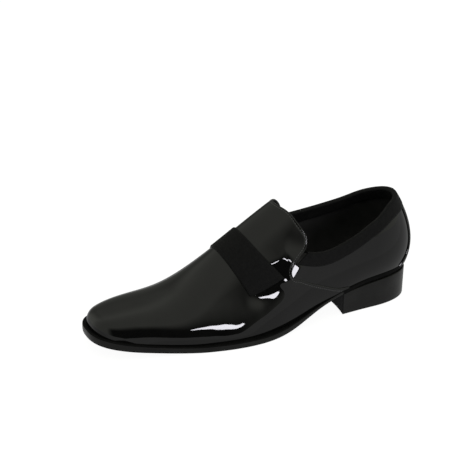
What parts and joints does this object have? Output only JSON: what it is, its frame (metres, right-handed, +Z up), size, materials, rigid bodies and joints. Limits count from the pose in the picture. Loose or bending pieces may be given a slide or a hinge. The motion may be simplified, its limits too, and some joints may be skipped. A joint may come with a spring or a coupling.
{
  "type": "formal slip-on shoe",
  "caption": "Left formal slip-on in black patent leather: hollow upper with an arched tongue, ribbed ribbon strap and collar binding, thin leather sole, low block heel.",
  "frame": {"origin": "on the floor, under the middle of the shoe's box", "axes": "+X from heel to toe, +Y to the outer side of the left foot, +Z up"},
  "size_m": [0.304, 0.1018, 0.1028],
  "materials": {
    "patent_leather": "black patent leather, high gloss",
    "ribbed_ribbon": "black ribbed silk ribbon, low sheen",
    "sock_leather": "black smooth leather lining, matt",
    "sole_leather": "blackened leather edge, satin",
    "heel_leather": "blackened leather block, satin"
  },
  "bodies": {
    "root": {"upper": "patent_leather", "back_stay": "patent_leather", "collar_binding": "ribbed_ribbon", "strap": "ribbed_ribbon", "insole": "sock_leather", "outsole": "sole_leather", "heel": "heel_leather"}
  },
  "joints": []
}
